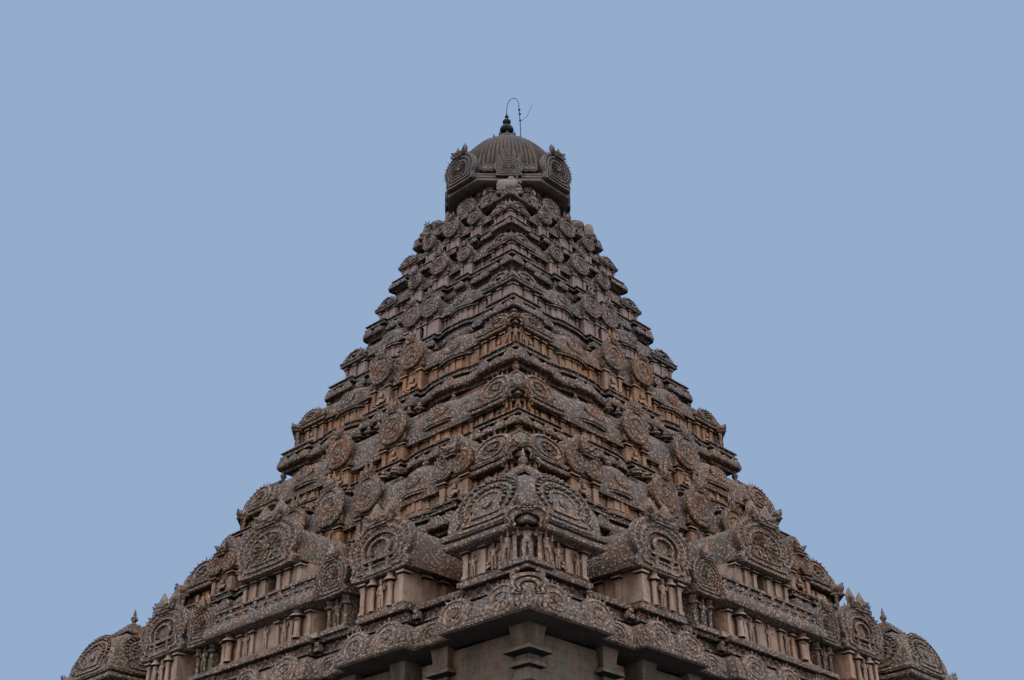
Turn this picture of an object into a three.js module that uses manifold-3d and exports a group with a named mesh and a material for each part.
// A granite temple tower of the South Indian vimana type, from ground level to finial, at a scale of 1:2.
// Sizes are written in metres of the real temple, and M turns them into millimetres of the model.
// The origin is the centre of the base on the ground, +Z is up, and each face looks along X or Y.
import * as THREE from 'three';
import { mergeVertices } from 'three/addons/utils/BufferGeometryUtils.js';
import Module from 'manifold-3d';

const wasm = await Module();
wasm.setup();

const M = 500;
const JOINT_GAP = 0.3 / M;
const QUARTER = Math.PI / 2;

// The base and the ground storey
const SUBBASE = { half: 16.9, top: 1.5 };
const PLINTH = { half: 15.9, top: 4.0 };
const WALL = { half: 14.0, projection: 0.3, inner: 9.0, cornice: 8.6, corniceTop: 9.5, top: 14.0 };
const CEILING = { half: 14.4, top: 14.6 };
const KAPOTA = { eaveHalf: 15.55, soffit: 14.6, eave: 15.35, friezeHalf: 14.8, ledge: 17.25 };
const SHAFT_HALF = 2.6;
const DOOR = { half: 1.4, top: 8.0 };
const STEPS = { count: 16, half: DOOR.half, run: 4.4 };
const PILASTER = { half: 0.35, depth: 0.22 };

// The five bays of a face, as fractions of the half-width, and how far they stand forward
const BAY = { shala: 0.245, panjaraIn: 0.36, panjaraOut: 0.61, kutaIn: 0.72, forward: 0.45 };

// The first row of pavilions, which stands on the main cornice
const KUTA = { centre: 13.18, eaveHalf: 2.13, wallHalf: 1.5, eave: 18.65, roofTop: 21.2, finial: 22.7 };
const PANJARA = { centre: 7.35, front: 15.1, wallHalf: 1.2, eave: 18.8, width: 3.7, archTop: 21.0, crown: 22.4 };
const SHALA = {
  front: 15.1, lowerHalf: 3.0, cornice: 18.6, corniceHalf: 3.7, upperBase: 19.8, upperHalf: 2.0,
  eave: 20.8, width: 4.3, archTop: 23.1, crown: 24.2, sideCentre: 4.45, sideHalf: 0.65,
};

// The upper storeys: half-width and levels of the cornice slab, then the row of pavilions that it carries.
// kuta is the half-width of the corner pavilion. gables and rounds are the gable-fronted and the round-roofed
// pavilions between the corners, as [distance from the middle of the face, width or half-width]. roof is how far
// the low roof behind them reaches to each side of the middle.
const STOREYS = [
  {
    name: 'second', half: 12.1, wallHalf: 11.5, slab: 21.4, floor: 22.5, eaveHalf: 11.8, eave: 23.4, roofTop: 25.5,
    kuta: 1.75, gables: [[0, 1.9], [2.6, 1.6], [7.7, 1.5]], rounds: [[5.4, 1.3]], roof: 3.5,
  },
  {
    name: 'third', half: 10.35, wallHalf: 9.7, slab: 25.8, floor: 26.6, eaveHalf: 9.92, eave: 27.5, roofTop: 29.6,
    kuta: 1.5, gables: [[1.95, 1.7]], rounds: [[4.75, 1.9]], roof: 2.9,
  },
  {
    name: 'fourth', half: 8.7, wallHalf: 8.1, slab: 30.2, floor: 31.2, eaveHalf: 8.2, eave: 32.5, roofTop: 33.9,
    kuta: 1.3, gables: [[1.15, 1.6]], rounds: [[3.7, 1.55]], roof: 2.1,
  },
  {
    name: 'fifth', half: 7.1, wallHalf: 6.55, slab: 34.3, floor: 35.2, eaveHalf: 6.6, eave: 36.4, roofTop: 37.6,
    kuta: 1.1, gables: [[0.7, 1.3]], rounds: [[2.75, 1.2]], roof: 1.5,
  },
  {
    name: 'sixth', half: 5.8, wallHalf: 5.3, slab: 38.1, floor: 39.0, eaveHalf: 5.35, eave: 39.95, roofTop: 40.95,
    kuta: 0.9, gables: [[0, 1.3], [1.95, 1.0]], rounds: [], roof: 2.6,
  },
  {
    name: 'seventh', half: 4.85, wallHalf: 4.4, slab: 41.4, floor: 42.0, eaveHalf: 4.5, eave: 42.85, roofTop: 43.8,
    kuta: 0.78, gables: [[0, 1.2], [1.8, 0.95]], rounds: [], roof: 2.4,
  },
];

// Proportions of the upper rows
const ROW = {
  parapetBack: 0.35, parapetShare: 0.5, wallShare: 0.72, gableProud: 0.15, gableRise: 1.5, crownRise: 0.35,
  roofBack: 0.3, roofRun: 0.9, roundDepth: 0.62, roundWall: 0.68,
};

// The outline of a storey's slab, as shares of its height above its underside
const SLAB = { drip: 0.2, lip: 0.1, shoulder: 0.6, waist: 0.25, edge: 0.12 };

// The top: platform, neck, dome, finial and lightning rod
const PLATFORM = { half: 3.95, wallHalf: 3.4, slab: 44.2, floor: 44.95 };
const NECK = { apothem: 2.8, top: 46.6 };
const DOME = {
  apothem: 3.5, straight: 1.077, eaveTop: 47.27, lotus: 0.55, top: 52.7, nasiFront: 4.1, nasiWidth: 2.4,
  nasiFoot: 46.85, nasiTop: 49.05, crown: 49.8, cornerNasi: { front: 3.6, width: 1.5, top: 48.3, crown: 48.7 },
};
const FINIAL = { foot: 0.22, top: 54.6, bulb: 0.43, bulbLevel: 53.2 };
const ROD = { radius: 0.03, foot: 0.87, seat: 51.94, top: 55.8 };
const BULL = { length: 1.5, width: 0.6, height: 0.95 };

const GRANITE = new THREE.MeshStandardMaterial({ color: 0x7d7066, roughness: 0.95, metalness: 0 });
const ROOF_STONE = new THREE.MeshStandardMaterial({ color: 0x6a615b, roughness: 0.95, metalness: 0 });
const WALL_STONE = new THREE.MeshStandardMaterial({ color: 0x927a6a, roughness: 0.92, metalness: 0 });
const FINIAL_METAL = new THREE.MeshStandardMaterial({ color: 0x2c2724, roughness: 0.5, metalness: 0.8 });

// Turns a closed geometry in metres into a solid in millimetres with its faces outward.
function solid(geometry) {
  const shell = geometry.clone();
  shell.deleteAttribute('normal');
  shell.deleteAttribute('uv');
  shell.scale(M, M, M);
  const merged = mergeVertices(shell, 0.02);
  const spots = merged.attributes.position;
  const corners = merged.index.array;
  const kept = [];
  let volume = 0;
  const [a, b, c] = [new THREE.Vector3(), new THREE.Vector3(), new THREE.Vector3()];
  for (let i = 0; i < corners.length; i += 3) {
    const [p, q, r] = [corners[i], corners[i + 1], corners[i + 2]];
    if (p === q || q === r || p === r) continue;
    kept.push([p, q, r]);
    a.fromBufferAttribute(spots, p);
    b.fromBufferAttribute(spots, q);
    c.fromBufferAttribute(spots, r);
    volume += a.dot(b.cross(c));
  }
  const triangles = kept.map(([p, q, r]) => (volume > 0 ? [p, q, r] : [p, r, q]));
  return new wasm.Manifold(new wasm.Mesh({
    numProp: 3,
    vertProperties: new Float32Array(spots.array),
    triVerts: new Uint32Array(triangles.flat()),
  }));
}

function join(geometries) {
  return geometries.map(solid).reduce((whole, next) => whole.add(next));
}

function block(x0, x1, y0, y1, z0, z1) {
  const box = new THREE.BoxGeometry(x1 - x0, y1 - y0, z1 - z0);
  return box.translate((x0 + x1) / 2, (y0 + y1) / 2, (z0 + z1) / 2);
}

// Turns a profile of [distance to the flat side, height] pairs about the Z axis with flat sides.
function turned(profile, sides, bore = 0) {
  const stretch = 1 / Math.cos(Math.PI / sides);
  const start = [bore, profile[0][1]];
  const end = [bore, profile[profile.length - 1][1]];
  const closed = bore > 0 ? [start, ...profile, end, start] : [start, ...profile, end];
  const points = closed.map(([r, z]) => new THREE.Vector2(r * stretch, z));
  return new THREE.LatheGeometry(points, sides).rotateX(QUARTER).rotateZ(Math.PI / sides);
}

function outlineShape(points) {
  return new THREE.Shape(points.map(([x, y]) => new THREE.Vector2(x, y)));
}

// Extrudes a plan outline upwards from z0 to z1.
function plan(points, z0, z1) {
  return new THREE.ExtrudeGeometry(outlineShape(points), { depth: z1 - z0, bevelEnabled: false }).translate(0, 0, z0);
}

// Extrudes an elevation outline of [x, z] pairs along Y, from y0 to y1.
function elevation(points, y0, y1) {
  const body = new THREE.ExtrudeGeometry(outlineShape(points), { depth: y1 - y0, bevelEnabled: false });
  return body.rotateX(QUARTER).translate(0, y1, 0);
}

// The plan of a face with five bays: corner bays, two between and one in the middle.
function bayPlan(half, forward) {
  const side = [];
  const edges = [BAY.shala, BAY.panjaraIn, BAY.panjaraOut, BAY.kutaIn].map((share) => share * half);
  const [s, p0, p1, k] = edges;
  const front = -half;
  const back = -half + forward;
  side.push([-half, front], [-k, front], [-k, back], [-p1, back], [-p1, front], [-p0, front], [-p0, back], [-s, back]);
  side.push([-s, front], [s, front], [s, back], [p0, back], [p0, front], [p1, front], [p1, back], [k, back], [k, front]);
  const turns = [0, 1, 2, 3].map((turn) => side.map(([x, y]) => spin(x, y, turn)));
  return turns.flat();
}

function spin(x, y, quarters) {
  const [c, s] = [[1, 0], [0, 1], [-1, 0], [0, -1]][quarters];
  return [x * c - y * s, x * s + y * c];
}

const group = new THREE.Group();

function addPiece(name, body, material) {
  const { vertProperties, triVerts } = body.getMesh();
  const geometry = new THREE.BufferGeometry();
  geometry.setAttribute('position', new THREE.BufferAttribute(new Float32Array(vertProperties), 3));
  geometry.setIndex(new THREE.BufferAttribute(new Uint32Array(triVerts), 1));
  geometry.computeVertexNormals();
  const mesh = new THREE.Mesh(geometry, material);
  mesh.name = name;
  group.add(mesh);
  return mesh;
}

// A moulded ring whose bays stand forward of the recesses between them.
function bayedRing(profile, forward, bore) {
  const half = Math.max(...profile.map(([r]) => r));
  const depth = half - Math.min(...profile.map(([r]) => r)) + forward + 0.3;
  const bottom = profile[0][1];
  const top = profile[profile.length - 1][1];
  const front = solid(turned(profile, 4, bore));
  const bays = solid(plan(bayPlan(half + 0.2, depth), bottom - 1, top + 1));
  const recessed = solid(turned(profile.map(([r, z]) => [r - forward, z]), 4, bore));
  return front.intersect(bays).add(recessed);
}

// A horseshoe gable with spreading lobes and a spiked crown, as [x, z] pairs.
function gableOutline(width, base, archTop, crown, arcs = 5) {
  const half = width / 2;
  const rise = archTop - base;
  const points = [[half, base], [half, base + 0.12 * rise]];
  for (let i = 0; i <= arcs; i += 1) {
    const angle = -0.35 + (i / arcs) * (QUARTER + 0.35 - 0.3);
    points.push([0.86 * half * Math.cos(angle), base + 0.48 * rise + 0.52 * rise * Math.sin(angle)]);
  }
  const head = crown - archTop;
  if (head > 0) points.push([0.44 * head, archTop + 0.1 * head], [0.36 * head, crown]);
  const mirrored = points.map(([x, z]) => [-x, z]).reverse();
  return [...points, ...mirrored];
}

function barrelOutline(width, base, top, arcs = 4) {
  const half = width / 2;
  const rise = top - base;
  const points = [[half, base]];
  for (let i = 0; i <= arcs; i += 1) {
    const angle = -0.3 + (i / arcs) * (QUARTER + 0.3);
    points.push([0.95 * half * Math.cos(angle), base + 0.4 * rise + 0.6 * rise * Math.sin(angle)]);
  }
  const mirrored = points.slice(0, -1).map(([x, z]) => [-x, z]).reverse();
  return [...points, ...mirrored];
}

// A square pavilion with a curved roof, its walls, its four gables and its pointed cap.
function kuta({ centre, eaveHalf, wallHalf, base, eave, roofTop, finial }) {
  const e = eaveHalf;
  const rise = roofTop - eave;
  const profile = [
    [wallHalf + 0.12 * e, base], [wallHalf + 0.12 * e, base + 0.08 * e], [wallHalf, base + 0.08 * e],
    [wallHalf, eave - 0.1 * e], [e, eave], [0.9 * e, eave + 0.12 * rise], [0.84 * e, eave + 0.45 * rise],
    [0.62 * e, eave + 0.8 * rise], [0.33 * e, roofTop], [0.4 * e, roofTop + 0.06 * rise],
    [0.14 * e, roofTop + 0.26 * rise], [0.02 * e, finial],
  ];
  const pieces = [turned(profile, 4)];
  const gable = gableOutline(1.15 * e, eave - 0.05 * e, eave + 0.62 * rise, eave + 0.62 * rise);
  for (let turn = 0; turn < 4; turn += 1) {
    pieces.push(elevation(gable, -1.0 * e, -0.5 * e).rotateZ(turn * QUARTER));
  }
  return pieces.map((piece) => piece.translate(-centre, -centre, 0));
}

// A narrow pavilion: a walled base and a horseshoe gable with a barrel roof behind it.
function panjara({ centre, front, wallHalf, base, eave, width, archTop, crown, back }) {
  const gable = gableOutline(width, eave, archTop, crown);
  const barrel = barrelOutline(0.86 * width, eave - 0.1, archTop - 0.15);
  const frontWall = -front + 0.35;
  const pieces = [
    block(-wallHalf - 0.15, wallHalf + 0.15, frontWall - 0.15, back, base, base + 0.18),
    block(-wallHalf, wallHalf, frontWall, back, base, eave),
    elevation(gable, -front, -front + 0.4),
    elevation(barrel, -front + 0.3, back),
  ];
  return pieces.map((piece) => piece.translate(centre, 0, 0));
}

function shalaPieces(back) {
  const s = SHALA;
  const lower = -s.front + 0.45;
  const base = KAPOTA.ledge;
  const pieces = [
    block(-s.lowerHalf - 0.6, s.lowerHalf + 0.6, lower - 0.2, back, base, base + 0.18),
    block(-s.lowerHalf, s.lowerHalf, lower, back, base, s.cornice),
    block(-s.corniceHalf, s.corniceHalf, -s.front - 0.15, back, s.cornice, s.cornice + 0.35),
    block(-s.corniceHalf + 0.3, s.corniceHalf - 0.3, -s.front + 0.1, back, s.cornice + 0.3, s.upperBase - 0.1),
    block(-s.upperHalf - 0.25, s.upperHalf + 0.25, lower - 0.1, back, s.upperBase - 0.2, s.upperBase),
    block(-s.upperHalf, s.upperHalf, lower + 0.1, back, s.upperBase - 0.1, s.eave),
    elevation(gableOutline(s.width, s.eave, s.archTop, s.crown), -s.front, -s.front + 0.45),
    elevation(barrelOutline(0.88 * s.width, s.eave - 0.1, s.archTop - 0.2), -s.front + 0.3, back),
  ];
  for (const side of [-1, 1]) {
    const x = side * s.sideCentre;
    const nasi = gableOutline(1.7, s.cornice, s.upperBase + 0.35, s.upperBase + 0.9);
    pieces.push(block(x - s.sideHalf, x + s.sideHalf, lower + 0.1, back, base, s.cornice + 0.2));
    pieces.push(elevation(nasi, -s.front + 0.1, back).translate(x, 0, 0));
  }
  return pieces;
}

function addBase() {
  const { half: a, top: t } = SUBBASE;
  const subbaseProfile = [[a, 0], [a, 0.4], [a - 0.35, 0.55], [a - 0.35, 1.1], [a - 0.1, 1.25], [a - 0.1, t]];
  const { half: b, top: p } = PLINTH;
  const plinthProfile = [
    [b, t + JOINT_GAP], [b, t + 0.45], [b - 0.25, t + 0.75], [b - 0.3, t + 0.95], [b - 0.08, t + 1.15],
    [b - 0.08, t + 1.35], [b - 0.3, t + 1.5], [b - 0.6, t + 1.6], [b - 0.6, t + 2.0], [b - 0.35, t + 2.15],
    [b - 0.35, t + 2.35], [b - 0.6, p],
  ];
  const notch = block(-STEPS.half, STEPS.half, SUBBASE.half - STEPS.run, SUBBASE.half + 1, -1, PLINTH.top + 1);
  addPiece('subbase', solid(turned(subbaseProfile, 4)).subtract(solid(notch)), GRANITE);
  addPiece('plinth', solid(turned(plinthProfile, 4)).subtract(solid(notch)), GRANITE);
}

function addSteps() {
  const tread = STEPS.run / STEPS.count;
  const riser = PLINTH.top / STEPS.count;
  const innerEnd = STEPS.run - JOINT_GAP;
  const outline = [[innerEnd, 0], [0, 0]];
  for (let i = 0; i < STEPS.count; i += 1) {
    outline.push([i * tread, (i + 1) * riser], [Math.min((i + 1) * tread, innerEnd), (i + 1) * riser]);
  }
  const flight = elevation(outline, -STEPS.half + JOINT_GAP, STEPS.half - JOINT_GAP);
  addPiece('entrance_steps', solid(flight.rotateZ(-QUARTER).translate(0, SUBBASE.half, 0)), GRANITE);
}

// One side of the ground storey on the -Y side, between x0 and x1, with its pilasters.
function wallSide(x0, x1, z0, z1) {
  const front = -WALL.half;
  const proud = front - WALL.projection;
  const pieces = [block(x0, x1, front, -WALL.inner, z0, z1)];
  const [s, p0, p1, k] = [BAY.shala, BAY.panjaraIn, BAY.panjaraOut, BAY.kutaIn].map((share) => share * WALL.half);
  const bays = [[-WALL.half, -k], [-p1, -p0], [-s, s], [p0, p1], [k, WALL.half]];
  for (const [from, to] of bays) {
    const [left, right] = [Math.max(from, x0), Math.min(to, x1)];
    if (right - left < 2 * PILASTER.half) continue;
    pieces.push(block(left, right, proud, front + 0.1, z0, z1));
    for (const x of [left + PILASTER.half, right - PILASTER.half]) {
      pieces.push(block(x - PILASTER.half, x + PILASTER.half, proud - PILASTER.depth, proud + 0.1, z0, z1));
    }
  }
  return pieces;
}

function addGroundWalls() {
  const names = ['south', 'east', 'north', 'west'];
  const band = [
    [WALL.half + 0.45, WALL.cornice], [WALL.half + 0.75, WALL.cornice + 0.25],
    [WALL.half + 0.55, WALL.cornice + 0.6], [WALL.half + 0.4, WALL.corniceTop],
  ];
  addPiece('middle_cornice', solid(turned(band, 4, WALL.inner)), GRANITE);
  for (let turn = 0; turn < 4; turn += 1) {
    const through = turn % 2 === 0;
    const reach = through ? WALL.half : WALL.inner - JOINT_GAP;
    const [lowZ0, lowZ1] = [PLINTH.top + JOINT_GAP, WALL.cornice - JOINT_GAP];
    const [highZ0, highZ1] = [WALL.corniceTop + JOINT_GAP, WALL.top - JOINT_GAP];
    const placed = (pieces) => join(pieces.map((piece) => piece.rotateZ(turn * QUARTER)));
    if (names[turn] === 'north') {
      addPiece('lower_wall_north_a', placed(wallSide(-reach, -DOOR.half, lowZ0, lowZ1)), WALL_STONE);
      addPiece('lower_wall_north_b', placed(wallSide(DOOR.half, reach, lowZ0, lowZ1)), WALL_STONE);
      const lintel = wallSide(-DOOR.half + JOINT_GAP, DOOR.half - JOINT_GAP, DOOR.top, lowZ1);
      addPiece('door_lintel', placed(lintel), WALL_STONE);
    } else {
      addPiece(`lower_wall_${names[turn]}`, placed(wallSide(-reach, reach, lowZ0, lowZ1)), WALL_STONE);
    }
    addPiece(`upper_wall_${names[turn]}`, placed(wallSide(-reach, reach, highZ0, highZ1)), WALL_STONE);
  }
}

function addCeilingAndCornice() {
  const c = CEILING;
  addPiece('chamber_ceiling', solid(block(-c.half, c.half, -c.half, c.half, WALL.top, c.top - JOINT_GAP)), GRANITE);
  const k = KAPOTA;
  const profile = [
    [k.friezeHalf - 0.4, k.soffit], [k.friezeHalf - 0.1, k.soffit + 0.4], [k.eaveHalf, k.eave],
    [k.eaveHalf - 0.05, k.eave + 0.35], [k.eaveHalf - 0.45, k.eave + 0.95], [k.friezeHalf, k.eave + 1.15],
    [k.friezeHalf, k.ledge - 0.2], [k.friezeHalf + 0.25, k.ledge - 0.2], [k.friezeHalf + 0.25, k.ledge - JOINT_GAP],
  ];
  addPiece('main_cornice', bayedRing(profile, BAY.forward, SHAFT_HALF), ROOF_STONE);
}

// The outside of a storey's wall and slab. It can be grown by a joint's gap.
function storeyProfile({ half, wallHalf, slab, floor }, bottom, grow) {
  return [
    [wallHalf + grow, bottom], [wallHalf + grow, slab - SLAB.drip - grow], [half + grow, slab + SLAB.lip - grow],
    [half - SLAB.waist + grow, slab + SLAB.shoulder * (floor - slab)], [half - SLAB.edge + grow, floor],
  ];
}

// What a row of pavilions is cut back by: the next storey's wall and slab, and all that is above them.
function storeyTrim(storey) {
  const wallFoot = storey.slab - 8;
  const clearTop = storey.floor + 4;
  const outside = storeyProfile(storey, wallFoot, JOINT_GAP);
  return solid(turned([...outside, [storey.half - SLAB.edge + JOINT_GAP, clearTop]], 4));
}

function addFirstPavilions() {
  const trim = storeyTrim(STOREYS[0]);
  const back = -STOREYS[0].wallHalf + 0.5;
  const base = KAPOTA.ledge;
  for (let turn = 0; turn < 4; turn += 1) {
    const placed = (pieces) => join(pieces.map((piece) => piece.rotateZ(turn * QUARTER))).subtract(trim);
    const label = turn + 1;
    addPiece(`corner_pavilion_${label}`, placed(kuta({ ...KUTA, base })), ROOF_STONE);
    addPiece(`central_pavilion_${label}`, placed(shalaPieces(back)), ROOF_STONE);
    for (const [letter, side] of [['a', -1], ['b', 1]]) {
      const spec = { ...PANJARA, base, back, centre: side * PANJARA.centre };
      addPiece(`side_pavilion_${label}_${letter}`, placed(panjara(spec)), ROOF_STONE);
    }
  }
}

// A storey's wall with the cornice slab that carries the next row of pavilions.
function addStoreyWall(storey, bottom) {
  const profile = storeyProfile({ ...storey, floor: storey.floor - JOINT_GAP }, bottom, 0);
  addPiece(`${storey.name}_storey_wall`, solid(turned(profile, 4, SHAFT_HALF)), WALL_STONE);
}

// A small gable over its wall, with few points, as [x, z] pairs.
function walledGable(width, wallHalf, floor, eave) {
  const rise = ROW.gableRise * width;
  const right = [
    [wallHalf, floor], [wallHalf, eave], [0.42 * width, eave + 0.12 * rise], [0.5 * width, eave + 0.45 * rise],
    [0.34 * width, eave + 0.88 * rise], [0.14 * width, eave + rise + ROW.crownRise * width],
  ];
  return [...right, ...right.map(([x, z]) => [-x, z]).reverse()];
}

// A plain square pavilion of the upper rows.
function smallKuta({ eaveHalf, eave, floor, roofTop, kuta: e }) {
  const rise = roofTop - eave;
  const centre = eaveHalf - e;
  const profile = [
    [ROW.wallShare * e, floor], [ROW.wallShare * e, eave - 0.1 * e], [e, eave], [0.84 * e, eave + 0.45 * rise],
    [0.4 * e, eave + 0.9 * rise], [0.04 * e, roofTop + 0.42 * rise],
  ];
  return turned(profile, 4).translate(-centre, -centre, 0);
}

// A narrow pavilion of the upper rows, with a horseshoe gable over its wall.
function gablePavilion({ eaveHalf, eave, floor }, x, width, back) {
  const gable = walledGable(width, 0.5 * ROW.wallShare * width, floor, eave);
  return elevation(gable, -eaveHalf - ROW.gableProud, back).translate(x, 0, 0);
}

// A pavilion with a rounded front and a domed roof, half sunk in the wall behind it.
function roundPavilion({ eaveHalf, eave, floor, roofTop }, x, half) {
  const rise = roofTop - eave;
  const drum = ROW.roundWall * half;
  const profile = [
    [drum, floor], [drum, eave], [half, eave + 0.08 * rise], [0.86 * half, eave + 0.5 * rise],
    [0.3 * half, eave + 0.86 * rise], [0.03 * half, roofTop],
  ];
  const depth = ROW.roundDepth * half;
  return turned(profile, 8).scale(1, ROW.roundDepth, 1).translate(x, depth - eaveHalf, 0);
}

// The low roof that runs along the middle of a face behind its gables.
function longRoof({ eaveHalf, eave, floor, roofTop, roof }, back) {
  const rise = roofTop - eave;
  const wall = -eaveHalf + ROW.roofBack + 0.25;
  const edge = -eaveHalf + ROW.roofBack;
  const outline = [
    [wall, floor], [wall, eave], [edge, eave], [edge + 0.25 * ROW.roofRun, eave + 0.6 * rise],
    [edge + ROW.roofRun, eave + 0.9 * rise],
    [back, eave + 0.9 * rise], [back, floor],
  ];
  return elevation(outline, -roof, roof).rotateZ(QUARTER);
}

// The row of pavilions of an upper storey, joined by the parapet that carries them.
function addUpperRow(storey, next) {
  const back = -next.wallHalf + 0.3;
  const parapetHalf = storey.eaveHalf - ROW.parapetBack;
  const parapetTop = storey.floor + ROW.parapetShare * (storey.eave - storey.floor);
  const pieces = [turned([[parapetHalf, storey.floor], [parapetHalf, parapetTop]], 4, next.wallHalf - 0.2)];
  for (let turn = 0; turn < 4; turn += 1) {
    const side = [smallKuta(storey), longRoof(storey, back)];
    for (const sign of [-1, 1]) {
      side.push(...storey.rounds.map(([x, half]) => roundPavilion(storey, sign * x, half)));
      const gables = storey.gables.filter(([x]) => x > 0 || sign > 0);
      side.push(...gables.map(([x, width]) => gablePavilion(storey, sign * x, width, back)));
    }
    pieces.push(...side.map((piece) => piece.rotateZ(turn * QUARTER)));
  }
  addPiece(`${storey.name}_storey_pavilions`, join(pieces).subtract(storeyTrim(next)), ROOF_STONE);
}

function addUpperStoreys() {
  let bottom = KAPOTA.ledge;
  STOREYS.forEach((storey, index) => {
    addStoreyWall(storey, bottom);
    addUpperRow(storey, index + 1 < STOREYS.length ? STOREYS[index + 1] : PLATFORM);
    bottom = storey.floor;
  });
}

// A kneeling bull, seen as a long body with a hump and a raised head.
function bull() {
  const { length: l, width: w, height: h } = BULL;
  const side = [
    [-0.5 * l, 0], [0.5 * l, 0], [0.5 * l, 0.25 * h], [0.46 * l, 0.5 * h], [0.5 * l, 0.8 * h], [0.4 * l, h],
    [0.25 * l, 0.95 * h], [0.15 * l, 0.85 * h], [-0.35 * l, 0.7 * h], [-0.5 * l, 0.4 * h],
  ];
  return elevation(side, -w / 2, w / 2);
}

function addTop() {
  const p = PLATFORM;
  const last = STOREYS[STOREYS.length - 1];
  const profile = storeyProfile({ ...p, floor: p.floor - JOINT_GAP }, last.floor, 0);
  addPiece('top_platform', solid(turned(profile, 4)), WALL_STONE);
  for (let turn = 0; turn < 4; turn += 1) {
    const place = p.half - 0.62;
    const body = bull().rotateZ(QUARTER / 2).translate(place, -place, p.floor).rotateZ(turn * QUARTER);
    addPiece(`bull_${turn + 1}`, solid(body), GRANITE);
  }
  const neck = [[NECK.apothem, p.floor], [NECK.apothem, NECK.top - JOINT_GAP]];
  addPiece('neck', solid(turned(neck, 8)), WALL_STONE);
  addDome();
  addFinial();
  addRod();
}

// The dome's outline at the middle of its corner sides, which lie nearer the axis than the straight ones.
function domeProfile() {
  const d = DOME;
  const base = NECK.top;
  return [
    [NECK.apothem + 0.2, base], [d.apothem, base + 0.07], [d.apothem, d.eaveTop], [d.apothem - 0.2, d.eaveTop + 0.08],
    [3.32, 47.9], [3.2, 48.7], [2.95, 49.6], [2.6, 50.3], [2.15, 50.95], [1.65, 51.45], [1.15, 51.8], [0.7, 52.0],
    [0.42, 52.1], [d.lotus, 52.3], [d.lotus, d.top - 0.12], [0.3, d.top],
  ];
}

// An eight-sided body: the straight sides stand out further than the corner sides by a share.
function eightSided(profile, straight) {
  const corners = solid(turned(profile, 4).rotateZ(QUARTER / 2));
  return solid(turned(profile.map(([r, z]) => [r * straight, z]), 4)).intersect(corners);
}

function addDome() {
  const d = DOME;
  const { cornerNasi: c } = DOME;
  const gables = [];
  const big = gableOutline(d.nasiWidth, d.nasiFoot, d.nasiTop, d.crown);
  const small = gableOutline(c.width, d.nasiFoot, c.top, c.crown);
  for (let turn = 0; turn < 4; turn += 1) {
    gables.push(elevation(big, -d.nasiFront, -2.0).rotateZ(turn * QUARTER));
    gables.push(elevation(small, -c.front, -2.0).rotateZ((turn + 0.5) * QUARTER));
  }
  addPiece('dome', eightSided(domeProfile(), d.straight).add(join(gables)), ROOF_STONE);
}

function addFinial() {
  const { foot, top, bulb, bulbLevel } = FINIAL;
  const profile = [
    [foot, DOME.top + JOINT_GAP], [0.16, bulbLevel - 0.42], [bulb, bulbLevel - 0.1], [bulb, bulbLevel + 0.1],
    [0.14, bulbLevel + 0.38], [0.25, bulbLevel + 0.56], [0.25, bulbLevel + 0.74], [0.08, bulbLevel + 0.95],
    [0.12, top - 0.34], [0.06, top - 0.25], [0.02, top],
  ];
  addPiece('finial', solid(turned(profile, 12)), FINIAL_METAL);
}

// A thin conductor that rises from the dome and arches over to the tip of the finial.
function addRod() {
  const at = (reach, z) => new THREE.Vector3(reach / Math.SQRT2, reach / Math.SQRT2, z);
  const { seat } = ROD;
  const path = new THREE.CatmullRomCurve3([
    at(ROD.foot, seat), at(ROD.foot, seat + 0.4), at(0.9 * ROD.foot, FINIAL.top), at(0.8 * ROD.foot, ROD.top - 0.2),
    at(0.55 * ROD.foot, ROD.top), at(0.15 * ROD.foot, ROD.top - 0.3), at(0, FINIAL.top + 0.2),
    at(0, FINIAL.top + JOINT_GAP),
  ]);
  const ring = new THREE.Shape();
  ring.absarc(0, 0, ROD.radius, 0, 2 * Math.PI, false);
  const tube = new THREE.ExtrudeGeometry(ring, { steps: 22, bevelEnabled: false, extrudePath: path, curveSegments: 6 });
  addPiece('lightning_rod', solid(tube), FINIAL_METAL);
}

addBase();
addSteps();
addGroundWalls();
addCeilingAndCornice();
addFirstPavilions();
addUpperStoreys();
addTop();

export default group;
